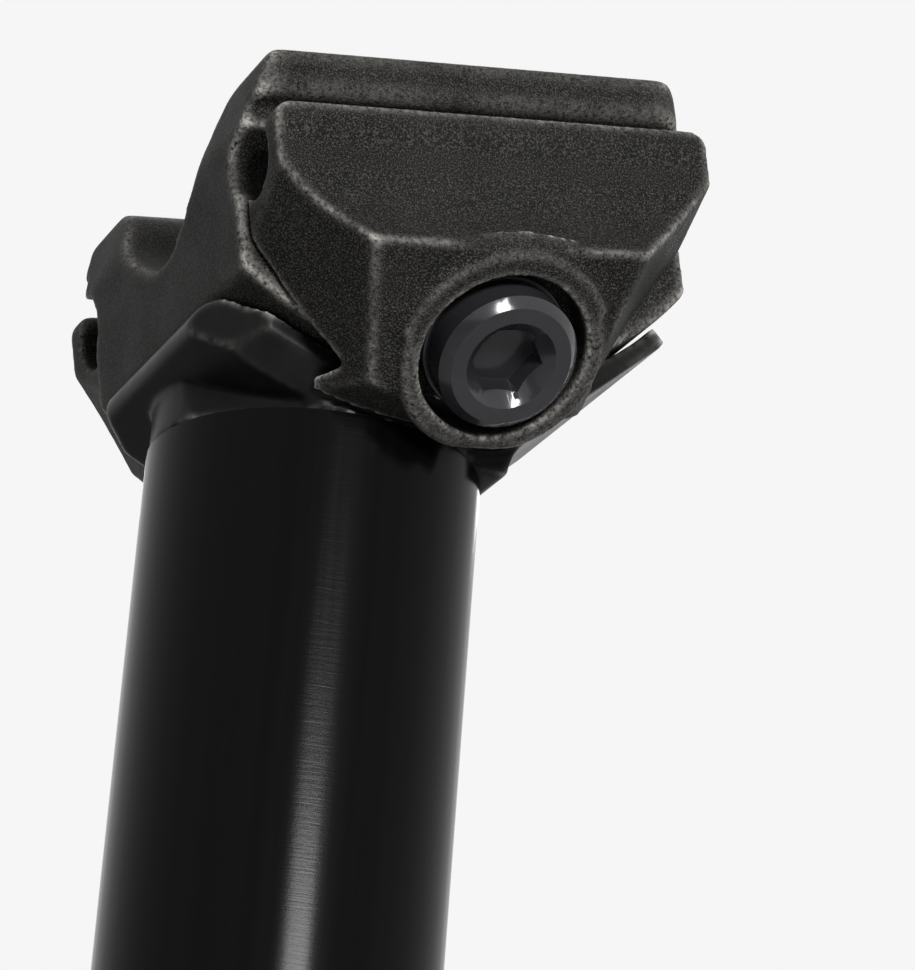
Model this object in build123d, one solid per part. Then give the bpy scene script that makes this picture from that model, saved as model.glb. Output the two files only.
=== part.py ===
from build123d import *
import math
import os

# Bicycle seatpost: a round tube, a forged head with a curved trough, and a saddle clamp that tilts in it.
# Frame: origin at the centre of the tube's lower end, +Z up the tube, +X to the rear of the bicycle.
# The clamp's own sizes are measured from the tilt axis: y to the side, and depth below the axis.

# Post tube
tube_diameter = 31.6
tube_wall = 2.4
tube_length = 322.0
tube_mouth_chamfer = 0.6

# Height of the flange's underside above the tube's top rim, and place and angle of the tilt axis
flange_rise = 0.1
axis_setback = 2.2
clamp_pitch = 11.0

# Clearances
moving_clearance = 0.3
seat_clearance = 0.35
thread_clearance = 0.05
bond_clearance = 0.05

# Saddle rails
rail_diameter = 7.0
rail_spacing = 44.0
rail_depth = 13.6
groove_edge_angle = 45.0

# Head
trough_radius = 32.3
trough_front_angle = 34.0
trough_rear_angle = 49.0
flange_half_width = 17.0
flange_edge = 1.6
flange_slope_run = 2.6
flange_end_round = 1.6
flange_corner_cut = 4.0
neck_step = 0.2
neck_rear_half_width = 10.0
neck_fillet_radius = 5.8
neck_underside_rise = 2.5
neck_underside_angle = 43.5
neck_facet_angle = 45.0
neck_facet_depth = 1.5
neck_facet_lean = 8.0
spigot_length = 36.0
spigot_bore = 19.0
spigot_floor = 6.0
core_inset = 0.5

# Cradle
cradle_top_depth = 2.8
cradle_bar_height = 4.8
cradle_bar_reach = 2.5
cradle_bar_front = 19.8
cradle_bar_rear = 22.0
cradle_base_front = 22.6
cradle_swell_depth = 10.0
cradle_swell_round = 6.0
cradle_base_rear = 22.4
cradle_face_offset = 2.4
cradle_bar_round = 1.6
cradle_bar_end_round = 2.2
cradle_plan_round = 3.4
lobe_inner = 5.0
lobe_top_width = 5.0
lobe_bar_step = 0.8
lobe_shoulder_depth = 9.4
valley_depth = 15.0

# Jaws
jaw_length = 43.6
jaw_end_round = 1.8
jaw_top_offset = 3.5
jaw_rail_wall = 2.8
jaw_valley_flare = 0.3
jaw_valley_height = 5.6
jaw_crease_reach = 3.7
jaw_crease_steepness = 1.2
jaw_face_height = 11.6
jaw_crease_front = 15.0
jaw_crease_rear = 12.3
jaw_shoulder_height = 11.2
jaw_side_lean = 36.0
jaw_draft = 17.0
lip_reach = 2.4

# Bolts, their bosses and washers
bolt_diameter = 8.0
bolt_length = 21.0
bolt_hole_extra = 1.0
bolt_head_diameter = 13.4
bolt_head_height = 4.2
bolt_head_chamfer = 0.9
bolt_head_proud = 1.8
bolt_tip_chamfer = 0.8
bolt_angle = 48.0
socket_width = 6.0
socket_depth = 3.4
socket_mouth_diameter = 8.7
bolt_hole_clearance = 0.3
boss_radius = 10.2
boss_drop = 7.2
boss_raise = 0.8
boss_edge = 0.6
boss_skirt_sink = 1.4
boss_skirt_angle = 45.0
boss_foot_trim = 2.2
boss_tube_clearance = 0.6
counterbore_clearance = 1.1
washer_diameter = 14.0
washer_thickness = 1.2
washer_hole_clearance = 0.2

# Values that follow from the driving dimensions
tube_radius = tube_diameter / 2
tube_bore_radius = tube_radius - tube_wall
rail_radius = rail_diameter / 2
rail_y = rail_spacing / 2
cradle_radius = trough_radius - moving_clearance
cradle_face = rail_y - cradle_face_offset
flange_base_radius = trough_radius + flange_edge + flange_slope_run
axis_rise = flange_base_radius + flange_rise
jaw_foot_radius = flange_base_radius - moving_clearance
jaw_crease_depth = jaw_foot_radius - jaw_face_height
jaw_valley_depth = jaw_crease_depth - jaw_valley_height
jaw_face = cradle_face + seat_clearance
jaw_top_depth = rail_depth - jaw_top_offset
jaw_outer = rail_y + rail_radius + jaw_rail_wall
jaw_valley = jaw_outer + jaw_valley_flare
jaw_crease = jaw_outer + jaw_crease_reach
lip_tip = flange_half_width - lip_reach + moving_clearance
washer_radius = washer_diameter / 2
counterbore_radius = washer_radius + counterbore_clearance
counterbore_depth = bolt_head_height - bolt_head_proud + washer_thickness
shank_radius = bolt_diameter / 2
groove_foot = rail_depth + rail_radius * math.sin(math.radians(groove_edge_angle))
overlap = 60.0
tolerance = 0.05

# The clamp's frame: origin on the tilt axis, x along the rails, y to the side, z up
clamp_frame = Location((axis_setback, 0, tube_length + axis_rise), (0, -clamp_pitch, 0))


def side_view(points):
    """Closed face in the x-z plane from points given as (x, depth below the axis)."""
    return Plane.XZ * make_face(Polyline([(x, -depth) for x, depth in points], close=True))


def end_view(points):
    """Closed face in the y-z plane from points given as (y, depth below the axis)."""
    return Plane.YZ * make_face(Polyline([(y, -depth) for y, depth in points], close=True))


def across(radius, width):
    """Cylinder along the tilt axis."""
    return Plane.XZ * Cylinder(radius, width)


def rail_channel():
    """Cylinder where the rail on the +y side lies."""
    return Location((0, rail_y, -rail_depth)) * (Plane.YZ * Cylinder(rail_radius, overlap * 2))


def edges_near(shape, tests):
    """Edges of a shape whose centre passes every test."""
    found = ShapeList()
    for edge in shape.edges():
        if all(test(edge.center()) for test in tests):
            found.append(edge)
    return found


def make_post_tube():
    tube = Pos(0, 0, tube_length / 2) * Cylinder(tube_radius, tube_length)
    tube -= Pos(0, 0, tube_length / 2) * Cylinder(tube_bore_radius, tube_length)
    mouth = tube.edges().filter_by(GeomType.CIRCLE).group_by(Axis.Z)[0].sort_by(SortBy.RADIUS)[0]
    return chamfer(mouth, tube_mouth_chamfer)


def flange_outline(clearance, top):
    """Half section of the dovetail flange, with its walls moved out by a clearance."""
    edge = flange_half_width + clearance
    slope_start = trough_radius + flange_edge + clearance
    foot = flange_half_width - flange_slope_run + clearance
    return [(0, top), (edge, top), (edge, slope_start), (foot, flange_base_radius + clearance),
            (0, flange_base_radius + clearance)]


def flange_ring(clearance, top):
    """Full ring of the dovetail flange about the tilt axis."""
    half = end_view(flange_outline(clearance, top))
    ring = revolve(half, Axis.Y)
    return ring + mirror(ring, Plane.XZ)


def above_underside():
    """Space above the sloping underside of the head's rear end, with a hollow curve up from the tube."""
    z = tube_length + neck_underside_rise
    slope = math.radians(neck_underside_angle)
    far = overlap * 2
    slope_end = (tube_radius + far * math.cos(slope), z + far * math.sin(slope))
    points = [(-far, z - far), (tube_radius, z - far), (tube_radius, z), slope_end, (-far, slope_end[1])]
    space = extrude(Plane.XZ * make_face(Polyline(points, close=True)), overlap, both=True)
    corner = edges_near(space, [lambda c: abs(c.X - tube_radius) < tolerance,
                                lambda c: abs(c.Z - z) < tolerance])
    return fillet(corner, neck_fillet_radius)


def rear_arm():
    """Block that carries the rear end of the plate."""
    length = axis_setback + flange_base_radius
    middle = Pos(length / 2, 0, tube_length + axis_rise / 2)
    return middle * Box(length, 2 * neck_rear_half_width, axis_rise) & above_underside()


def make_head():
    # Curved flange plate: the part of the ring between two radial end planes
    reach = flange_base_radius * 2
    front = math.radians(trough_front_angle)
    rear = math.radians(trough_rear_angle)
    front_corner = (-reach * math.sin(front), reach * math.cos(front))
    rear_corner = (reach * math.sin(rear), reach * math.cos(rear))
    sector = extrude(side_view([(0, 0), rear_corner, front_corner]), overlap, both=True)
    plate = flange_ring(0, trough_radius) & sector
    front_edges = edges_near(plate, [lambda c: abs(math.atan2(c.X, -c.Z) + front) < tolerance])
    plate = fillet(front_edges.filter_by(Axis.Y), flange_end_round)
    cut_start = flange_corner_cut - trough_radius * math.sin(front)
    for side in (-1, 1):
        corner = Plane(origin=(cut_start, side * flange_half_width, 0), z_dir=(-1, side, 0))
        plate -= corner * Box(overlap, overlap * 2, overlap, align=(Align.CENTER, Align.CENTER, Align.MIN))
    tilt_axis = Pos(axis_setback, 0, tube_length + axis_rise)
    plate = tilt_axis * plate & above_underside()

    # Neck: the tube's outline carried up and to the rear, kept below the plate's underside
    column = Pos(0, 0, tube_length + axis_rise / 2) * Cylinder(tube_radius - neck_step, axis_rise)
    facet_distance = tube_radius - neck_facet_depth
    for side in (-1, 1):
        turn = math.radians(neck_facet_angle)
        normal = Vector(-math.cos(turn), side * math.sin(turn), math.sin(math.radians(neck_facet_lean)))
        base = Vector(-math.cos(turn) * facet_distance, side * math.sin(turn) * facet_distance, tube_length)
        cut_plane = Plane(origin=base, z_dir=normal)
        column -= cut_plane * Box(overlap, overlap, overlap, align=(Align.CENTER, Align.CENTER, Align.MIN))
    neck = column + rear_arm()
    core_width = 2 * (flange_half_width - flange_slope_run - core_inset)
    core = neck & Pos(0, 0, tube_length) * Box(overlap * 2, core_width, overlap * 2)
    core -= tilt_axis * across(trough_radius + flange_edge, overlap)
    neck -= tilt_axis * across(flange_base_radius, overlap)
    neck += core
    neck &= tilt_axis * sector + Pos(0, 0, tube_length) * Box(tube_diameter, tube_diameter, axis_rise)

    # Spigot that is bonded into the tube
    spigot_radius = tube_bore_radius - bond_clearance
    spigot = Pos(0, 0, tube_length - spigot_length / 2) * Cylinder(spigot_radius, spigot_length)
    hollow = spigot_length - spigot_floor
    spigot -= Pos(0, 0, tube_length - spigot_length + hollow / 2) * Cylinder(spigot_bore / 2, hollow)
    return plate + neck + spigot


def bolt_frame():
    """Frame on the +y boss: origin at the boss plane, z out along the bolt."""
    lean = math.radians(bolt_angle)
    y = jaw_crease - boss_drop * math.tan(lean) + boss_raise * math.cos(lean)
    depth = jaw_crease_depth + boss_drop + boss_raise * math.sin(lean)
    outward = Vector(0, math.cos(lean), -math.sin(lean))
    return Plane(origin=(0, y, -depth), x_dir=(1, 0, 0), z_dir=outward)


def along_bolt(radius, start, end):
    """Cylinder on the +y bolt's axis between two distances from the boss plane, outwards positive."""
    return bolt_frame() * Pos(0, 0, (start + end) / 2) * Cylinder(radius, end - start)


def make_cradle():
    bar_outer = rail_y + cradle_bar_reach
    bar_foot = cradle_top_depth + cradle_bar_height
    bar_inner = rail_y - rail_radius + lobe_bar_step
    lobe_shoulder = lobe_inner + lobe_top_width
    with BuildSketch(Plane.YZ) as section:
        with BuildLine():
            crest = Spline((0, -valley_depth), (lobe_inner, -valley_depth + cradle_bar_round),
                           (lobe_shoulder, -lobe_shoulder_depth), (bar_inner, -cradle_top_depth),
                           tangents=[(1, 0), (1, 0)])
            Polyline(crest @ 1, (bar_outer, -cradle_top_depth), (bar_outer, -bar_foot),
                     (rail_y, -bar_foot - seat_clearance), (rail_y, -rail_depth), (cradle_face, -groove_foot),
                     (cradle_face, -trough_radius), (0, -trough_radius), crest @ 0)
        make_face()
        fillet(section.vertices().group_by(Axis.X)[-1], cradle_bar_round)
    base_length = cradle_base_front + cradle_base_rear
    base_middle = (cradle_base_rear - cradle_base_front) / 2
    block = Pos(base_middle, 0, 0) * extrude(section.sketch, base_length / 2, both=True)
    block += mirror(block, Plane.XZ)
    rear_top = bar_foot + cradle_base_rear - cradle_bar_rear
    outline = side_view([(-cradle_bar_front, cradle_top_depth), (cradle_bar_rear, cradle_top_depth),
                         (cradle_bar_rear, bar_foot), (cradle_base_rear, rear_top),
                         (cradle_base_rear, trough_radius), (-cradle_base_front, trough_radius),
                         (-cradle_base_front, cradle_swell_depth)])
    outline = fillet(outline.vertices().group_by(Axis.Z)[-1], cradle_bar_end_round)
    swell = outline.vertices().sort_by_distance((-cradle_base_front, 0, -cradle_swell_depth))[0]
    outline = fillet(swell, cradle_swell_round)
    block &= extrude(outline, overlap, both=True)
    plan = Pos(base_middle, 0, 0) * RectangleRounded(base_length, 2 * bar_outer, cradle_plan_round)
    block &= extrude(plan, -overlap)
    block &= across(cradle_radius, overlap * 2)
    for side in (1, -1):
        channel = rail_channel()
        hole = along_bolt(shank_radius + thread_clearance, -hole_depth(), 0)
        if side < 0:
            channel = mirror(channel, Plane.XZ)
            hole = mirror(hole, Plane.XZ)
        block -= channel
        block -= hole
    return clamp_frame * block


def hole_depth():
    """Depth of the bolt's hole below the boss plane."""
    return bolt_head_height - bolt_head_proud + bolt_length + bolt_hole_extra


def jaw_side(crease_half):
    """One end of the jaw's side outline as (x, depth): past the shoulder, the crease's end and the foot."""
    past_shoulder = jaw_length - crease_half
    foot_half = crease_half - jaw_face_height * math.tan(math.radians(jaw_side_lean))
    return [(past_shoulder, jaw_crease_depth - 2 * jaw_shoulder_height), (crease_half, jaw_crease_depth),
            (foot_half, jaw_foot_radius), (foot_half, jaw_foot_radius + overlap)]


def make_jaw():
    """Jaw on the +y side, in the clamp's frame."""
    gap = seat_clearance
    face_foot = jaw_crease - (jaw_foot_radius - jaw_crease_depth) * math.tan(math.radians(bolt_angle))
    with BuildSketch(Plane.YZ) as section:
        with BuildLine():
            outer = Spline((jaw_outer, -jaw_top_depth), (jaw_valley, -jaw_valley_depth),
                           (jaw_crease, -jaw_crease_depth), tangents=[(0, -1), (1, -jaw_crease_steepness)])
            Polyline(outer @ 1, (face_foot, -jaw_foot_radius), (lip_tip, -jaw_foot_radius),
                     (lip_tip, -cradle_radius), (jaw_face, -cradle_radius), (jaw_face, -groove_foot - gap),
                     (rail_y + gap, -rail_depth - gap), (rail_y + jaw_top_offset + gap, -jaw_top_depth),
                     outer @ 0)
        make_face()
    body = extrude(section.sketch, jaw_length / 2, both=True)
    body &= across(jaw_foot_radius, overlap * 2)
    ends = Pos(0, -jaw_top_depth - overlap / 2) * RectangleRounded(jaw_length, overlap, jaw_end_round)
    body &= extrude(Plane.XZ * ends, overlap, both=True)

    # Sides that narrow from the shoulders to the foot, drafted towards the outside
    rear_side = jaw_side(jaw_crease_rear)
    front_side = [(-x, depth) for x, depth in reversed(jaw_side(jaw_crease_front))]
    side_plane = Plane(origin=(0, jaw_crease, 0), x_dir=(1, 0, 0), z_dir=(0, -1, 0))
    side_points = [(x, -depth) for x, depth in rear_side + front_side]
    outline = side_plane * make_face(Polyline(side_points, close=True))
    body &= extrude(outline, jaw_crease - lip_tip, taper=-jaw_draft)

    # Boss, trimmed flat at its foot and kept outside the tube and the cradle
    boss = along_bolt(boss_radius, -boss_radius, 0)
    boss = chamfer(boss.edges().filter_by(GeomType.CIRCLE).sort_by(Axis.Y)[-1], boss_edge)
    boss_inner = tube_radius + boss_tube_clearance
    boss_foot = jaw_foot_radius + boss_foot_trim
    boss &= Pos(0, boss_inner + overlap / 2, 0) * Box(overlap, overlap, 2 * boss_foot)
    boss -= across(trough_radius, 2 * jaw_face)
    body += boss

    # Skirt that spreads from the upper half of the boss over the jaw's face
    skirt_height = boss_raise + boss_skirt_sink
    skirt_radius = boss_radius + skirt_height * math.tan(math.radians(boss_skirt_angle))
    skirt = bolt_frame() * Pos(0, 0, -skirt_height / 2) * Cone(skirt_radius, boss_radius, skirt_height)
    skirt &= extrude(outline, overlap, both=True)
    upper_half = Box(overlap, overlap * 2, overlap, align=(Align.CENTER, Align.CENTER, Align.MIN))
    body += skirt & Pos(0, 0, bolt_frame().origin.Z) * upper_half

    body -= flange_ring(moving_clearance, cradle_radius - moving_clearance)
    body -= rail_channel()
    body -= along_bolt(shank_radius + bolt_hole_clearance, -overlap, overlap)
    body -= along_bolt(counterbore_radius, -counterbore_depth, overlap)
    return body


def make_washer():
    """Washer on the +y counterbore's floor."""
    washer = along_bolt(washer_radius, -counterbore_depth, -counterbore_depth + washer_thickness)
    return washer - along_bolt(shank_radius + washer_hole_clearance, -overlap, overlap)


def make_bolt():
    """Socket head bolt on the +y side."""
    head_foot = bolt_head_proud - bolt_head_height
    head = Cylinder(bolt_head_diameter / 2, bolt_head_height)
    head = Pos(0, 0, bolt_head_proud - bolt_head_height / 2) * head
    head = chamfer(head.edges().filter_by(GeomType.CIRCLE).sort_by(Axis.Z)[-1], bolt_head_chamfer)
    shank = Pos(0, 0, head_foot - bolt_length / 2) * Cylinder(shank_radius, bolt_length)
    shank = chamfer(shank.edges().filter_by(GeomType.CIRCLE).sort_by(Axis.Z)[0], bolt_tip_chamfer)
    bolt = head + shank
    hexagon = RegularPolygon(socket_width / 2, 6, major_radius=False)
    bolt -= extrude(Pos(0, 0, bolt_head_proud) * hexagon, -socket_depth)
    mouth_radius = socket_mouth_diameter / 2
    mouth_depth = mouth_radius - socket_width / 2
    bolt -= Pos(0, 0, bolt_head_proud - mouth_depth / 2) * Cone(socket_width / 2, mouth_radius, mouth_depth)
    return bolt_frame() * bolt


def both_sides(name, piece):
    """Right and left copies of a piece that was made on the +y side."""
    return {name + "_right": clamp_frame * piece, name + "_left": clamp_frame * mirror(piece, Plane.XZ)}


nodes = {"post_tube": make_post_tube(), "head": make_head(), "cradle": make_cradle()}
nodes.update(both_sides("jaw", make_jaw()))
nodes.update(both_sides("washer", make_washer()))
nodes.update(both_sides("bolt", make_bolt()))

os.makedirs("parts", exist_ok=True)
for name, shape in nodes.items():
    export_step(shape, os.path.join("parts", name + ".step"))
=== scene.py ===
import math

import bmesh
import bpy
from mathutils import Matrix, Vector


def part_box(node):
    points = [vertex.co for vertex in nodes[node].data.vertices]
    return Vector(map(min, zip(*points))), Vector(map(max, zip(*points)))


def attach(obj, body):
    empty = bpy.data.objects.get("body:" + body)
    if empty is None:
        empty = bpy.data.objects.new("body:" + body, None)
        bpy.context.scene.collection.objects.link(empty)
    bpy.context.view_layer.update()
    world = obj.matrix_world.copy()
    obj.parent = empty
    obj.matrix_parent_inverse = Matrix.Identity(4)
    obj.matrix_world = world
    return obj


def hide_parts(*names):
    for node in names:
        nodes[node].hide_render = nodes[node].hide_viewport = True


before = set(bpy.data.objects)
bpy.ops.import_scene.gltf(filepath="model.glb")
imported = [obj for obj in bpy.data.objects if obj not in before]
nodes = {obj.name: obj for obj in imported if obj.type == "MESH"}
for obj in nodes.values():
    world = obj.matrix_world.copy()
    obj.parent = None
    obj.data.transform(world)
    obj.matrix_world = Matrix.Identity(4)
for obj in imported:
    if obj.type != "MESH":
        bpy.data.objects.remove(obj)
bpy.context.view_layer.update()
scene = bpy.context.scene

# Photograph's frame and viewpoint
IMAGE_WIDTH = 915
IMAGE_HEIGHT = 970
SENSOR = 36.0
FOCAL_PIXELS = 4240.0
CAMERA_DISTANCE = 0.400
CAMERA_AZIMUTH = math.radians(20.0)
CAMERA_DROP = math.radians(22.5)
CAMERA_ROLL = math.radians(5.2)
RIM_PIXEL = (313.0, 475.0)
CAMERA_CLIP = 0.01
TUBE_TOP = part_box("post_tube")[1].z

# Softened edges on the forged and machined pieces: voxels and bevel in metres, smoothing in passes
JAW_VOXEL = 0.00025
CRADLE_VOXEL = 0.00036
HEAD_VOXEL = 0.00034
JAW_SMOOTHING = 24
CRADLE_SMOOTHING = 16
HEAD_SMOOTHING = 10
SMOOTHING_FACTOR = 0.5
MERGE_DISTANCE = 1e-6
MACHINED_BEVEL = 0.00016
BEVEL_SEGMENTS = 3
BEVEL_ANGLE = math.radians(28.0)
FLAT_ANGLE = math.radians(1.0)

# Mask of the outer corners, blurred over the mesh
CORNER_VOXELS = 4
CORNER_PASSES = 4
SMALLEST_SQUARE = 1e-12

# Skirt above each bolt's ring, blended into the jaw's face; the two angles are the part's own
BOLT_ANGLE = math.radians(48.0)
CLAMP_PITCH = math.radians(11.0)
RING_RADIUS = 0.0106
SKIRT_RADIUS = 0.0124
SKIRT_RISE = 0.0008
SKIRT_REACH = 0.0075
SKIRT_PASSES = 90

# Places of a Mix node's colour sockets
MIX_FIRST = 6
MIX_SECOND = 7
MIX_RESULT = 2

# Grain, painted glints, wear with painted edge highlights, and turning marks: scales in waves per metre, and
# the part of each noise that is spread to 0..1
NOISE_ROUGHNESS = 0.55
COARSE_GRAIN_SCALE = 1300.0
COARSE_GRAIN_HEIGHT = 0.6
COAT_TONE_SCALE = 130.0
PIT_SCALE = 420.0
PIT_EDGE = (0.10, 0.04)
PIT_PATCH_SCALE = 260.0
PIT_PATCH_RANGE = (0.60, 0.66)
PAINTED_GLINT_RANGE = (0.48, 0.74)
SOFT_RANGE = (0.35, 0.65)
WEAR_AND_HIGHLIGHT_GRAIN_RANGE = (0.30, 0.60)
WEAR_AND_HIGHLIGHT_PATCH_SCALE = 140.0
WEAR_AND_HIGHLIGHT_PATCH_RANGE = (0.20, 0.52)
TURNED_STRETCH = (160.0, 160.0, 5200.0)
STREAK_STRETCH = (520.0, 520.0, 14.0)
SPECK_SCALE = 2600.0
SPECK_HEIGHT = 0.5

# Studio: sizes in metres, powers in watts
FLOOR_HALF = 1.6
FLOOR_COLOUR = (0.80, 0.80, 0.80, 1.0)
FLOOR_ROUGHNESS = 0.8
FLOOR_SPECULAR = 0.2
FLOOR_PALE_SHARE = 0.55
PALE = (0.92, 0.92, 0.92, 1.0)
WHITE = (1.0, 1.0, 1.0, 1.0)
FILL_STRENGTH = 0.10
FRONT_BOX = {"place": (-0.03, -0.60, 0.395), "aim": (0, 0, 0.335),
             "width": 0.16, "height": 0.13, "power": 3.3}
BACK_BOX = {"place": (0.30, 0.60, 0.80), "aim": (0, 0, 0.34),
            "width": 0.40, "height": 0.40, "power": 1.6}
REAR_BOX = {"place": (0.36, 0.78, 0.24), "aim": (0, 0, 0.30),
            "width": 0.30, "height": 0.30, "power": 1.4}
REAR_BOX_SPREAD = math.radians(70.0)


def new_group(name, inputs, outputs):
    """Shader node group with named value inputs and outputs."""
    tree = bpy.data.node_groups.new(name, "ShaderNodeTree")
    for label, value in inputs.items():
        socket = tree.interface.new_socket(label, in_out="INPUT", socket_type="NodeSocketFloat")
        socket.default_value = value
    for label in outputs:
        tree.interface.new_socket(label, in_out="OUTPUT", socket_type="NodeSocketFloat")
    entry = tree.nodes.new("NodeGroupInput")
    leave = tree.nodes.new("NodeGroupOutput")
    return tree, entry, leave


def math_node(tree, operation, first, second, clamp=False):
    """Math node fed by sockets or plain numbers."""
    node = tree.nodes.new("ShaderNodeMath")
    node.operation = operation
    node.use_clamp = clamp
    for slot, value in enumerate((first, second)):
        if isinstance(value, (int, float)):
            node.inputs[slot].default_value = value
        else:
            tree.links.new(value, node.inputs[slot])
    return node.outputs[0]


def noise(tree, vector, scale, detail):
    """Noise texture's value over a vector, at a scale given as a number or a socket."""
    node = tree.nodes.new("ShaderNodeTexNoise")
    node.inputs["Detail"].default_value = detail
    node.inputs["Roughness"].default_value = NOISE_ROUGHNESS
    if isinstance(scale, (int, float)):
        node.inputs["Scale"].default_value = scale
    else:
        tree.links.new(scale, node.inputs["Scale"])
    tree.links.new(vector, node.inputs["Vector"])
    return node.outputs["Fac"]


def between(tree, value, low, high):
    """Value spread so that low gives 0 and high gives 1."""
    node = tree.nodes.new("ShaderNodeMapRange")
    node.inputs["From Min"].default_value = low
    node.inputs["From Max"].default_value = high
    tree.links.new(value, node.inputs["Value"])
    return node.outputs["Result"]


def object_place(tree, scale=(1.0, 1.0, 1.0)):
    """Object coordinates, stretched by a Mapping node."""
    place = tree.nodes.new("ShaderNodeTexCoord")
    mapping = tree.nodes.new("ShaderNodeMapping")
    mapping.inputs["Scale"].default_value = scale
    tree.links.new(place.outputs["Object"], mapping.inputs["Vector"])
    return mapping.outputs["Vector"]


def build_coat_grain():
    """Blasted black coat: a fine pebbled height, a mask of painted glints on the grain's high points and a
    slow tone.
    """
    tree, entry, leave = new_group(
        "coat_grain", {"Grain Scale": 3600.0, "Pit Amount": 0.4}, ["Height", "Painted Glint", "Tone"])
    place = object_place(tree)
    fine = noise(tree, place, entry.outputs["Grain Scale"], detail=2.0)
    coarse = noise(tree, place, COARSE_GRAIN_SCALE, detail=3.0)
    tone = noise(tree, place, COAT_TONE_SCALE, detail=4.0)
    pits = tree.nodes.new("ShaderNodeTexVoronoi")
    pits.inputs["Scale"].default_value = PIT_SCALE
    tree.links.new(place, pits.inputs["Vector"])
    pit = between(tree, pits.outputs["Distance"], *PIT_EDGE)
    rare = between(tree, noise(tree, place, PIT_PATCH_SCALE, detail=1.0), *PIT_PATCH_RANGE)
    pit = math_node(tree, "MULTIPLY", pit, rare)
    pit = math_node(tree, "MULTIPLY", pit, entry.outputs["Pit Amount"])
    height = math_node(tree, "ADD", fine, math_node(tree, "MULTIPLY", coarse, COARSE_GRAIN_HEIGHT))
    tree.links.new(math_node(tree, "SUBTRACT", height, pit), leave.inputs["Height"])
    # High points of the fine grain, which get the painted glints.
    tree.links.new(between(tree, fine, *PAINTED_GLINT_RANGE), leave.inputs["Painted Glint"])
    tree.links.new(between(tree, tone, *SOFT_RANGE), leave.inputs["Tone"])
    return tree


def build_edge_wear_and_highlight():
    """Edges that are partly rubbed and partly painted highlight: a mask along the piece's own outer corners,
    broken up by grain.
    """
    tree, entry, leave = new_group("edge_wear_and_highlight", {"Reach": 0.5, "Focus": 1.0, "Breakup": 900.0}, ["Mask"])
    corner = tree.nodes.new("ShaderNodeAttribute")
    corner.attribute_name = "corner"
    grain = noise(tree, object_place(tree), entry.outputs["Breakup"], detail=3.0)
    patchy = noise(tree, object_place(tree), WEAR_AND_HIGHLIGHT_PATCH_SCALE, detail=2.0)
    speckled = between(tree, grain, *WEAR_AND_HIGHLIGHT_GRAIN_RANGE)
    broken = math_node(tree, "MULTIPLY", speckled, between(tree, patchy, *WEAR_AND_HIGHLIGHT_PATCH_RANGE))
    focused = math_node(tree, "POWER", corner.outputs["Fac"], entry.outputs["Focus"])
    reached = math_node(tree, "MULTIPLY", focused, entry.outputs["Reach"])
    tree.links.new(math_node(tree, "MULTIPLY", reached, broken, clamp=True), leave.inputs["Mask"])
    return tree


def build_turned_grain():
    """Fine lines round a turned tube, with faint length-wise streaks."""
    tree, entry, leave = new_group("turned_grain", {"Line Scale": 1.0}, ["Height", "Streak"])
    lines_place = object_place(tree, TURNED_STRETCH)
    streak_place = object_place(tree, STREAK_STRETCH)
    lines = noise(tree, lines_place, entry.outputs["Line Scale"], detail=3.0)
    streak = noise(tree, streak_place, scale=1.0, detail=3.0)
    speck = noise(tree, object_place(tree), SPECK_SCALE, detail=2.0)
    height = math_node(tree, "ADD", lines, math_node(tree, "MULTIPLY", speck, SPECK_HEIGHT))
    tree.links.new(height, leave.inputs["Height"])
    tree.links.new(between(tree, streak, *SOFT_RANGE), leave.inputs["Streak"])
    return tree


COAT_GRAIN = build_coat_grain()
EDGE_WEAR_AND_HIGHLIGHT = build_edge_wear_and_highlight()
TURNED_GRAIN = build_turned_grain()


def place_group(tree, group, **values):
    """Copy of a node group with its own values, given with _ for spaces."""
    node = tree.nodes.new("ShaderNodeGroup")
    node.node_tree = group
    for label, value in values.items():
        node.inputs[label.replace("_", " ")].default_value = value
    return node


def mix_colour(tree, mask, first, second):
    """Colour between two colours or sockets by a mask."""
    node = tree.nodes.new("ShaderNodeMix")
    node.data_type = "RGBA"
    tree.links.new(mask, node.inputs["Factor"])
    for socket, value in ((node.inputs[MIX_FIRST], first), (node.inputs[MIX_SECOND], second)):
        if isinstance(value, tuple):
            socket.default_value = (*value, 1.0)
        else:
            tree.links.new(value, socket)
    return node.outputs[MIX_RESULT]


def blend_value(tree, mask, first, second):
    """Number between two numbers by a mask."""
    node = tree.nodes.new("ShaderNodeMapRange")
    node.inputs["To Min"].default_value = first
    node.inputs["To Max"].default_value = second
    tree.links.new(mask, node.inputs["Value"])
    return node.outputs["Result"]


def bump(tree, height, strength, distance):
    """Normal of a height, at a strength and a distance in metres."""
    node = tree.nodes.new("ShaderNodeBump")
    node.inputs["Strength"].default_value = strength
    node.inputs["Distance"].default_value = distance
    tree.links.new(height, node.inputs["Height"])
    return node.outputs["Normal"]


def new_material(name, specular, ior=1.45, coat=0.0, coat_roughness=0.2):
    """Principled material with its constants on the shader's own sockets."""
    material = bpy.data.materials.new(name)
    material.use_nodes = True
    shader = material.node_tree.nodes["Principled BSDF"]
    shader.inputs["Specular IOR Level"].default_value = specular
    shader.inputs["IOR"].default_value = ior
    shader.inputs["Coat Weight"].default_value = coat
    shader.inputs["Coat Roughness"].default_value = coat_roughness
    return material, material.node_tree, shader


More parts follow.
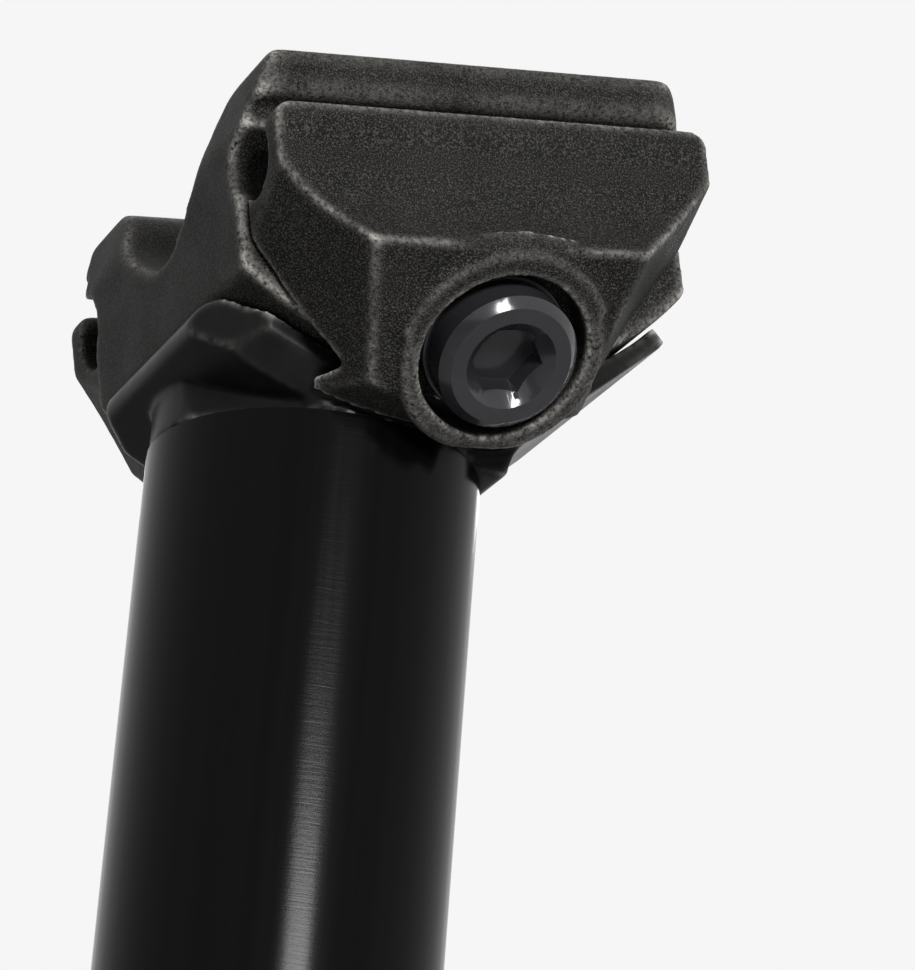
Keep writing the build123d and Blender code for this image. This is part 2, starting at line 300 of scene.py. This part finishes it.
def make_clamp_coat():
    """Grainy blasted black with painted glints on its grain and bright edges that are partly wear and partly
    painted highlight, on the cradle and the jaws.
    """
    dark, light = (0.005, 0.0049, 0.0051), (0.010, 0.0098, 0.0100)
    # The lighter grain colour is painted glints; the pale edge colour is partly wear, partly painted
    # highlight.
    painted_glint, wear_and_highlight_colour = (0.104, 0.099, 0.089), (0.44, 0.43, 0.40)
    material, tree, shader = new_material("clamp_coat", specular=0.9, ior=1.12)
    grain = place_group(tree, COAT_GRAIN, Grain_Scale=6500.0, Pit_Amount=0.8)
    # Bright edges along the outer corners: partly wear, partly painted highlight.
    wear_and_highlight = place_group(tree, EDGE_WEAR_AND_HIGHLIGHT, Reach=2.4, Focus=1.5, Breakup=2600.0)
    coat = mix_colour(tree, grain.outputs["Tone"], dark, light)
    coat = mix_colour(tree, grain.outputs["Painted Glint"], coat, painted_glint)
    colour = mix_colour(tree, wear_and_highlight.outputs["Mask"], coat, wear_and_highlight_colour)
    tree.links.new(colour, shader.inputs["Base Color"])
    tree.links.new(blend_value(tree, grain.outputs["Tone"], 0.60, 0.52), shader.inputs["Roughness"])
    normal = bump(tree, grain.outputs["Height"], strength=0.80, distance=0.00015)
    tree.links.new(normal, shader.inputs["Normal"])
    return material


def make_head_satin():
    """Satin black with thin bright lines on the sharpest edges, partly wear and partly painted highlight."""
    # The pale edge colour is partly wear, partly painted highlight.
    dark, light, wear_and_highlight_colour = (0.006, 0.006, 0.006), (0.012, 0.012, 0.0118), (0.36, 0.36, 0.34)
    material, tree, shader = new_material("head_satin", specular=1.0, ior=1.12)
    grain = place_group(tree, COAT_GRAIN, Grain_Scale=2400.0, Pit_Amount=0.15)
    # Thin bright edges on the sharpest corners: partly wear, partly painted highlight.
    wear_and_highlight = place_group(tree, EDGE_WEAR_AND_HIGHLIGHT, Reach=2.6, Focus=3.0, Breakup=900.0)
    coat = mix_colour(tree, grain.outputs["Tone"], dark, light)
    colour = mix_colour(tree, wear_and_highlight.outputs["Mask"], coat, wear_and_highlight_colour)
    tree.links.new(colour, shader.inputs["Base Color"])
    tree.links.new(blend_value(tree, grain.outputs["Tone"], 0.40, 0.30), shader.inputs["Roughness"])
    normal = bump(tree, grain.outputs["Height"], strength=0.18, distance=0.00006)
    tree.links.new(normal, shader.inputs["Normal"])
    return material


def make_tube_satin():
    """Black tube, finely turned, with a narrow gloss."""
    dark, light = (0.0014, 0.0014, 0.0015), (0.0022, 0.0022, 0.0022)
    material, tree, shader = new_material("tube_satin", specular=0.9, ior=1.12)
    grain = place_group(tree, TURNED_GRAIN, Line_Scale=1.0)
    colour = mix_colour(tree, grain.outputs["Streak"], dark, light)
    tree.links.new(colour, shader.inputs["Base Color"])
    tree.links.new(blend_value(tree, grain.outputs["Streak"], 0.15, 0.20), shader.inputs["Roughness"])
    normal = bump(tree, grain.outputs["Height"], strength=0.14, distance=0.00004)
    tree.links.new(normal, shader.inputs["Normal"])
    return material


def make_bolt_gloss():
    """Glossy black oxide, on the bolts and washers."""
    dark, light = (0.020, 0.019, 0.022), (0.030, 0.028, 0.032)
    material, tree, shader = new_material("bolt_gloss", specular=0.50, coat=0.10, coat_roughness=0.08)
    grain = place_group(tree, COAT_GRAIN, Grain_Scale=1800.0, Pit_Amount=0.1)
    colour = mix_colour(tree, grain.outputs["Tone"], dark, light)
    tree.links.new(colour, shader.inputs["Base Color"])
    tree.links.new(blend_value(tree, grain.outputs["Tone"], 0.20, 0.12), shader.inputs["Roughness"])
    normal = bump(tree, grain.outputs["Height"], strength=0.06, distance=0.00004)
    tree.links.new(normal, shader.inputs["Normal"])
    return material


def mark_corners(mesh, radius):
    """Point attribute that is high on outward corners, where a point stands above its neighbours."""
    work = bmesh.new()
    work.from_mesh(mesh)
    values = []
    for point in work.verts:
        reach = [edge.other_vert(point).co for edge in point.link_edges]
        middle = sum(reach, Vector()) / len(reach)
        length = sum((co - point.co).length for co in reach) / len(reach)
        values.append((point.co - middle).dot(point.normal) / max(length * length, SMALLEST_SQUARE))
    near = [[edge.other_vert(point).index for edge in point.link_edges] for point in work.verts]
    work.free()
    for _ in range(CORNER_PASSES):
        values = [(value + sum(values[i] for i in others)) / (1 + len(others))
                  for value, others in zip(values, near)]
    layer = mesh.attributes.new("corner", "FLOAT", "POINT")
    layer.data.foreach_set("value", [min(1.0, max(0.0, value * radius)) for value in values])


def merged_copy(node, name):
    """Closed mesh of a CAD node in a new object, its loose triangles joined."""
    mesh = nodes[node].data.copy()
    mesh.materials.clear()
    work = bmesh.new()
    work.from_mesh(mesh)
    bmesh.ops.remove_doubles(work, verts=work.verts, dist=MERGE_DISTANCE)
    work.to_mesh(mesh)
    work.free()
    piece = bpy.data.objects.new(name, mesh)
    scene.collection.objects.link(piece)
    return piece


def settle(piece, material):
    """Piece's modifiers turned into a plain, smooth-shaded mesh with one material."""
    depsgraph = bpy.context.evaluated_depsgraph_get()
    mesh = bpy.data.meshes.new_from_object(piece.evaluated_get(depsgraph))
    piece.modifiers.clear()
    piece.data = mesh
    mesh.name = piece.name
    mesh.materials.clear()
    mesh.materials.append(material)
    mesh.polygons.foreach_set("use_smooth", [True] * len(mesh.polygons))
    return piece


def soften_skirt(piece, side):
    """Jaw's skirt blended into its face above the bolt's ring, most at the skirt's upper rim."""
    low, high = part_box("washer_" + side)
    middle = (low + high) / 2
    outward = Vector((0.0, -1.0 if side == "left" else 1.0, 0.0))
    rise = Vector((-math.sin(CLAMP_PITCH), 0.0, math.cos(CLAMP_PITCH)))
    axis = outward * math.cos(BOLT_ANGLE) - rise * math.sin(BOLT_ANGLE)
    upper = outward * math.sin(BOLT_ANGLE) + rise * math.cos(BOLT_ANGLE)
    rim = middle + axis * SKIRT_RISE + upper * SKIRT_RADIUS
    work = bmesh.new()
    work.from_mesh(piece.data)
    zone = []
    for point in work.verts:
        offset = point.co - middle
        if (offset - axis * offset.dot(axis)).length > RING_RADIUS:
            zone.append((point, (point.co - rim).length))
    for step in range(SKIRT_PASSES):
        reach = SKIRT_REACH * (1.0 - step / SKIRT_PASSES)
        near = [point for point, gap in zone if gap < reach]
        bmesh.ops.smooth_vert(
            work, verts=near, factor=SMOOTHING_FACTOR, use_axis_x=True, use_axis_y=True, use_axis_z=True)
    work.to_mesh(piece.data)
    work.free()


def forged(node, name, voxel, smoothing, material, skirt_side=None):
    """Forged piece: the CAD shape with its corners and inner angles softened."""
    piece = merged_copy(node, name)
    remesh = piece.modifiers.new("remesh", "REMESH")
    remesh.mode = "VOXEL"
    remesh.voxel_size = voxel
    soften = piece.modifiers.new("soften", "SMOOTH")
    soften.factor = SMOOTHING_FACTOR
    soften.iterations = smoothing
    settle(piece, material)
    if skirt_side:
        soften_skirt(piece, skirt_side)
    mark_corners(piece.data, voxel * CORNER_VOXELS)
    return piece


def machined(node, name, material):
    """Machined piece: the CAD shape with a fine bevel on its sharp edges."""
    piece = merged_copy(node, name)
    work = bmesh.new()
    work.from_mesh(piece.data)
    bmesh.ops.dissolve_limit(work, angle_limit=FLAT_ANGLE, verts=work.verts, edges=work.edges)
    work.to_mesh(piece.data)
    work.free()
    bevel = piece.modifiers.new("bevel", "BEVEL")
    bevel.limit_method = "ANGLE"
    bevel.angle_limit = BEVEL_ANGLE
    bevel.width = MACHINED_BEVEL
    bevel.segments = BEVEL_SEGMENTS
    even = piece.modifiers.new("even", "WEIGHTED_NORMAL")
    even.keep_sharp = True
    piece.data.polygons.foreach_set("use_smooth", [True] * len(piece.data.polygons))
    return settle(piece, material)


def dress(node, piece, body):
    """Piece stands for a CAD node and rides on its body."""
    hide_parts(node)
    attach(piece, body)


clamp_coat = make_clamp_coat()
head_satin = make_head_satin()
tube_satin = make_tube_satin()
bolt_gloss = make_bolt_gloss()

dress("head", forged("head", "forged_head", HEAD_VOXEL, HEAD_SMOOTHING, head_satin), "post")
cradle = forged("cradle", "rail_cradle", CRADLE_VOXEL, CRADLE_SMOOTHING, clamp_coat)
dress("cradle", cradle, "clamp")
for side in ("left", "right"):
    jaw = forged("jaw_" + side, "rail_jaw_" + side, JAW_VOXEL, JAW_SMOOTHING, clamp_coat, side)
    dress("jaw_" + side, jaw, "clamp")

for side in ("left", "right"):
    washer = machined("washer_" + side, "bolt_washer_" + side, bolt_gloss)
    dress("washer_" + side, washer, "clamp")
    bolt = machined("bolt_" + side, "socket_bolt_" + side, bolt_gloss)
    dress("bolt_" + side, bolt, "clamp")

nodes["post_tube"].data.materials.clear()
nodes["post_tube"].data.materials.append(tube_satin)


def add_floor():
    """Pale floor, lightened to the camera alone, so that it throws no more light on the part."""
    mesh = bpy.data.meshes.new("floor")
    half = FLOOR_HALF
    corners = [(-half, -half, 0), (half, -half, 0), (half, half, 0), (-half, half, 0)]
    mesh.from_pydata(corners, [], [(0, 1, 2, 3)])
    floor = bpy.data.objects.new("floor", mesh)
    scene.collection.objects.link(floor)
    material, tree, shader = new_material("pale_floor", specular=FLOOR_SPECULAR)
    shader.inputs["Base Color"].default_value = FLOOR_COLOUR
    shader.inputs["Roughness"].default_value = FLOOR_ROUGHNESS
    path = tree.nodes.new("ShaderNodeLightPath")
    pale = tree.nodes.new("ShaderNodeEmission")
    pale.inputs["Color"].default_value = PALE
    choose = tree.nodes.new("ShaderNodeMixShader")
    share = math_node(tree, "MULTIPLY", path.outputs["Is Camera Ray"], FLOOR_PALE_SHARE)
    tree.links.new(share, choose.inputs["Fac"])
    tree.links.new(shader.outputs[0], choose.inputs[1])
    tree.links.new(pale.outputs[0], choose.inputs[2])
    tree.links.new(choose.outputs[0], tree.nodes["Material Output"].inputs["Surface"])
    mesh.materials.append(material)


def add_world():
    """Pale grey-white to the camera and in reflections, and a low even fill for the rest."""
    world = bpy.data.worlds.new("studio")
    scene.world = world
    world.use_nodes = True
    tree = world.node_tree
    tree.nodes.clear()
    leave = tree.nodes.new("ShaderNodeOutputWorld")
    path = tree.nodes.new("ShaderNodeLightPath")
    shown = math_node(tree, "MAXIMUM", path.outputs["Is Camera Ray"], path.outputs["Is Transmission Ray"])
    shown = math_node(tree, "MAXIMUM", shown, path.outputs["Is Glossy Ray"])
    seen = tree.nodes.new("ShaderNodeBackground")
    seen.inputs["Color"].default_value = PALE
    fill = tree.nodes.new("ShaderNodeBackground")
    fill.inputs["Color"].default_value = WHITE
    fill.inputs["Strength"].default_value = FILL_STRENGTH
    choose = tree.nodes.new("ShaderNodeMixShader")
    tree.links.new(shown, choose.inputs["Fac"])
    tree.links.new(fill.outputs[0], choose.inputs[1])
    tree.links.new(seen.outputs[0], choose.inputs[2])
    tree.links.new(choose.outputs[0], leave.inputs["Surface"])


def add_softbox(name, place, aim, width, height, power, spread=math.pi):
    """Rectangular studio light that faces a point."""
    lamp = bpy.data.lights.new(name, "AREA")
    lamp.shape = "RECTANGLE"
    lamp.size = width
    lamp.size_y = height
    lamp.energy = power
    lamp.spread = spread
    box = bpy.data.objects.new(name, lamp)
    box.location = place
    box.rotation_euler = (Vector(aim) - Vector(place)).to_track_quat("-Z", "Y").to_euler()
    scene.collection.objects.link(box)
    return box


def add_camera():
    """Camera at the photograph's place: below the rim, to the front of the left side, rolled a little."""
    azimuth, drop, roll = CAMERA_AZIMUTH, CAMERA_DROP, CAMERA_ROLL
    level = Vector((math.cos(azimuth), -math.sin(azimuth), 0.0))
    near_side = Vector((-math.sin(azimuth), -math.cos(azimuth), 0.0))
    to_camera = near_side * math.cos(drop) - Vector((0.0, 0.0, math.sin(drop)))
    rise = to_camera.cross(level)
    across = level * math.cos(roll) + rise * math.sin(roll)
    upward = rise * math.cos(roll) - level * math.sin(roll)
    offset_x = (IMAGE_WIDTH / 2 - RIM_PIXEL[0]) / FOCAL_PIXELS
    offset_y = (RIM_PIXEL[1] - IMAGE_HEIGHT / 2) / FOCAL_PIXELS
    ahead = (-to_camera + across * offset_x + upward * offset_y).normalized()
    across = (across - ahead * across.dot(ahead)).normalized()
    upward = across.cross(ahead)
    data = bpy.data.cameras.new("photo_view")
    data.sensor_width = SENSOR
    data.lens = FOCAL_PIXELS / max(IMAGE_WIDTH, IMAGE_HEIGHT) * SENSOR
    data.clip_start = CAMERA_CLIP
    camera = bpy.data.objects.new("photo_view", data)
    turn = Matrix((across, upward, -ahead)).transposed().to_4x4()
    camera.matrix_world = Matrix.Translation(Vector((0, 0, TUBE_TOP)) + to_camera * CAMERA_DISTANCE) @ turn
    scene.collection.objects.link(camera)
    scene.camera = camera


add_floor()
add_world()
add_softbox("front_box", **FRONT_BOX)
add_softbox("back_box", **BACK_BOX)
rear_box = add_softbox("rear_box", **REAR_BOX, spread=REAR_BOX_SPREAD)
rear_box.visible_glossy = False
add_camera()
scene.view_settings.view_transform = "Standard"
